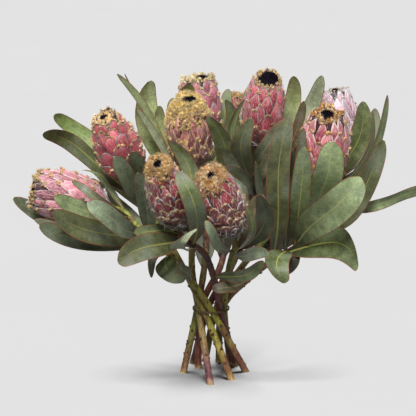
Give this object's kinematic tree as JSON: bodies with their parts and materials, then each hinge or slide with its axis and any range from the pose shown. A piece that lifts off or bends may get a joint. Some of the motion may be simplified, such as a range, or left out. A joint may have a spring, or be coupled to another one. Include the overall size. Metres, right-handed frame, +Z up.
{
  "type": "tied bunch of queen proteas",
  "caption": "Hand-tied bunch of woody protea stems, each with leathery leaves and one bracted flower head with a dark centre, standing on its splayed cut ends.",
  "frame": {"origin": "on the floor under the middle of the bunch's bounding box", "axes": "+Z up, -Y towards the front of the bunch, +X along its widest spread"},
  "size_m": [0.6352, 0.3744, 0.463],
  "materials": {
    "leafy_stem": "olive to red-brown bark, leathery grey-green leaves",
    "bract": "matt, downy, pink to crimson with golden and white woolly margins",
    "styles": "velvety, almost black",
    "twine": "dull brown-green twine"
  },
  "bodies": {
    "root": {"stem_01": "leafy_stem", "head_01": "bract", "centre_01": "styles", "stem_02": "leafy_stem", "head_02": "bract", "centre_02": "styles", "stem_03": "leafy_stem", "head_03": "bract", "centre_03": "styles", "stem_04": "leafy_stem", "head_04": "bract", "centre_04": "styles", "stem_05": "leafy_stem", "head_05": "bract", "centre_05": "styles", "stem_06": "leafy_stem", "head_06": "bract", "centre_06": "styles", "stem_07": "leafy_stem", "head_07": "bract", "centre_07": "styles", "stem_08": "leafy_stem", "head_08": "bract", "centre_08": "styles", "stem_09": "leafy_stem", "head_09": "bract", "centre_09": "styles", "stem_10": "leafy_stem", "head_10": "bract", "centre_10": "styles", "tie": "twine"}
  },
  "joints": []
}
